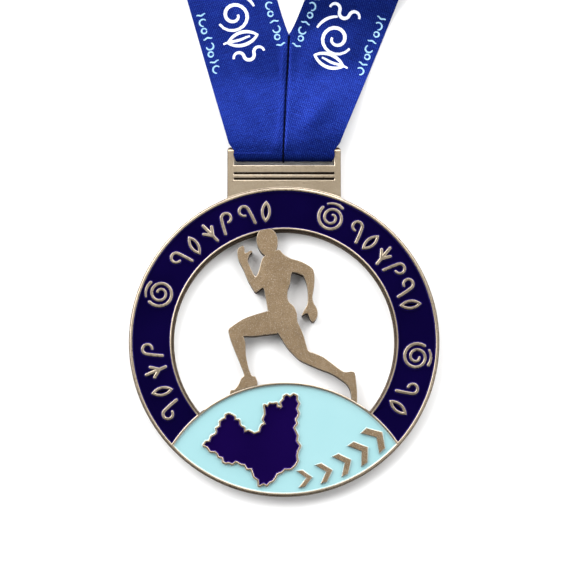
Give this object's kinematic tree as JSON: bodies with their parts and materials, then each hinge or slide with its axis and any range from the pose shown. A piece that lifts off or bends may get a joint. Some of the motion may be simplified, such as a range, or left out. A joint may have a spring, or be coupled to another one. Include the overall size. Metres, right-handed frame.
{
  "type": "finisher medal on neck ribbon",
  "caption": "Round cut-out sports medal with a cast runner, enamelled ring and hill, swinging on the bar of a mitred blue neck ribbon folded into a flat hank.",
  "frame": {"origin": "centre of the disc, on its flat back", "axes": "+X to the right of the face, +Y towards the ribbon, +Z out of the face; the medal lies on its back on the XY plane"},
  "size_m": [0.0732, 0.1433, 0.0048],
  "materials": {
    "satin_metal": "warm antique nickel plating on zinc alloy, satin with bright rims",
    "blasted_metal": "fine sandblasted warm nickel with polished edges",
    "polished_metal": "polished warm nickel",
    "navy_enamel": "glossy soft enamel, very dark blue",
    "cyan_enamel": "glossy soft enamel, pale aqua",
    "indigo_enamel": "glossy soft enamel, dark indigo",
    "ribbon_satin": null,
    "thread": "dark blue sewing thread",
    "paper_band": "plain white paper band, matte"
  },
  "bodies": {
    "ribbon": {"ribbon_left_tail": "ribbon_satin", "ribbon_right_tail": "ribbon_satin", "ribbon_loop": "ribbon_satin", "mitre_stitching": "thread", "loop_stitching": "thread", "ribbon_hank": "ribbon_satin", "hank_band": "paper_band"},
    "medal": {"medal_casting": "satin_metal", "runner_figure": "blasted_metal", "ring_ornament": "polished_metal", "region_border": "polished_metal", "pace_chevrons": "blasted_metal", "navy_enamel": "navy_enamel", "cyan_enamel": "cyan_enamel", "indigo_enamel": "indigo_enamel"}
  },
  "joints": [
    {"name": "medal_swing", "type": "hinge", "parent": "ribbon", "child": "medal", "pos_m": [0, 0.0433, 0.0016], "axis": [-1, 0, 0], "range_deg": [0, 132]}
  ]
}
